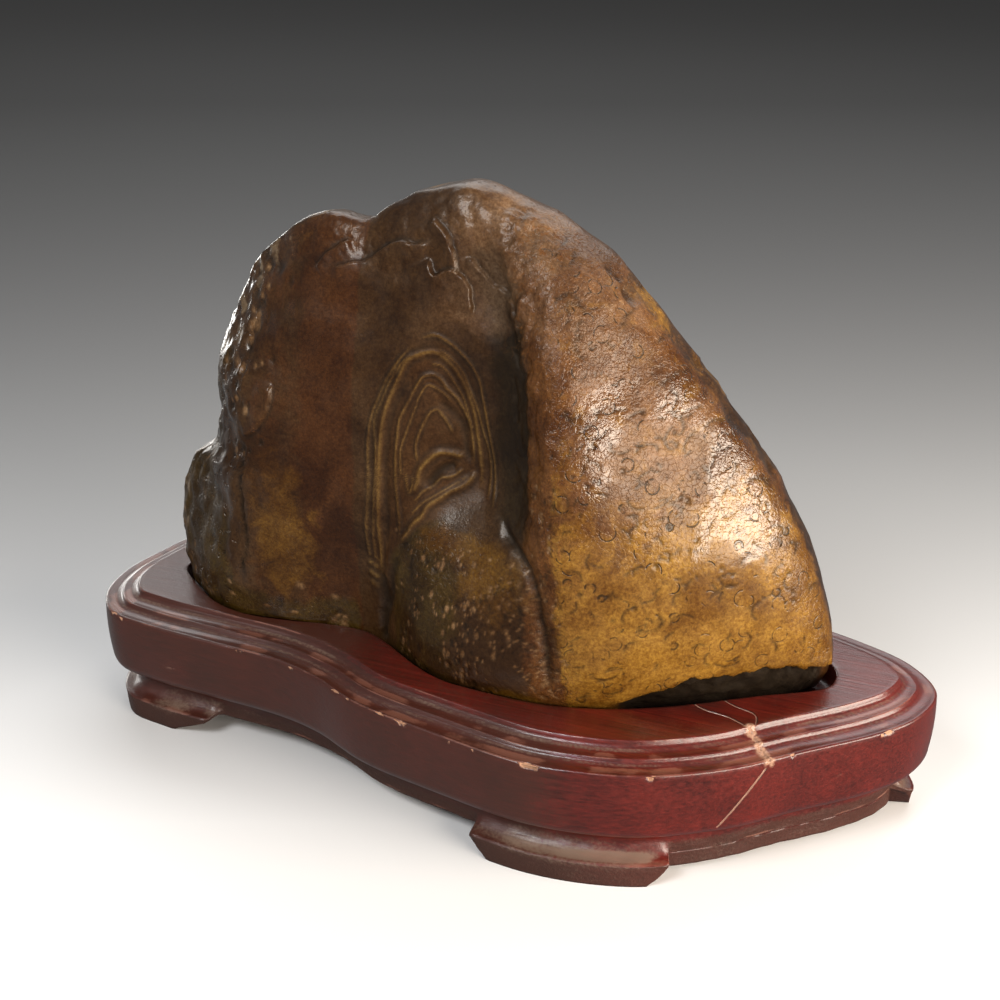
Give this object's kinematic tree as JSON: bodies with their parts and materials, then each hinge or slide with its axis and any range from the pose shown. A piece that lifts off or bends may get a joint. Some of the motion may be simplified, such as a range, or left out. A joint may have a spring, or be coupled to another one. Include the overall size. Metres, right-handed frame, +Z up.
{
  "type": "scholar's rock on a carved wood stand",
  "caption": "Waxed scholar's rock with a ringed hollow and a deep gully, resting in the fitted recess of its moulded, footed hardwood stand.",
  "frame": {"origin": "middle of the bounding box in plan, on the surface that the feet stand on", "axes": "+X along the stand's length towards the stone's broad glossy face, +Y towards the back, +Z up"},
  "size_m": [0.329, 0.138, 0.2258],
  "materials": {
    "waxed_stone": "hand-waxed water-worn stone, dark olive and red brown to golden ochre, high gloss",
    "lacquered_wood": "dark red-brown lacquer over carved hardwood, satin gloss, edges worn to bare wood"
  },
  "bodies": {
    "root": {"stone": "waxed_stone", "stand": "lacquered_wood"}
  },
  "joints": []
}
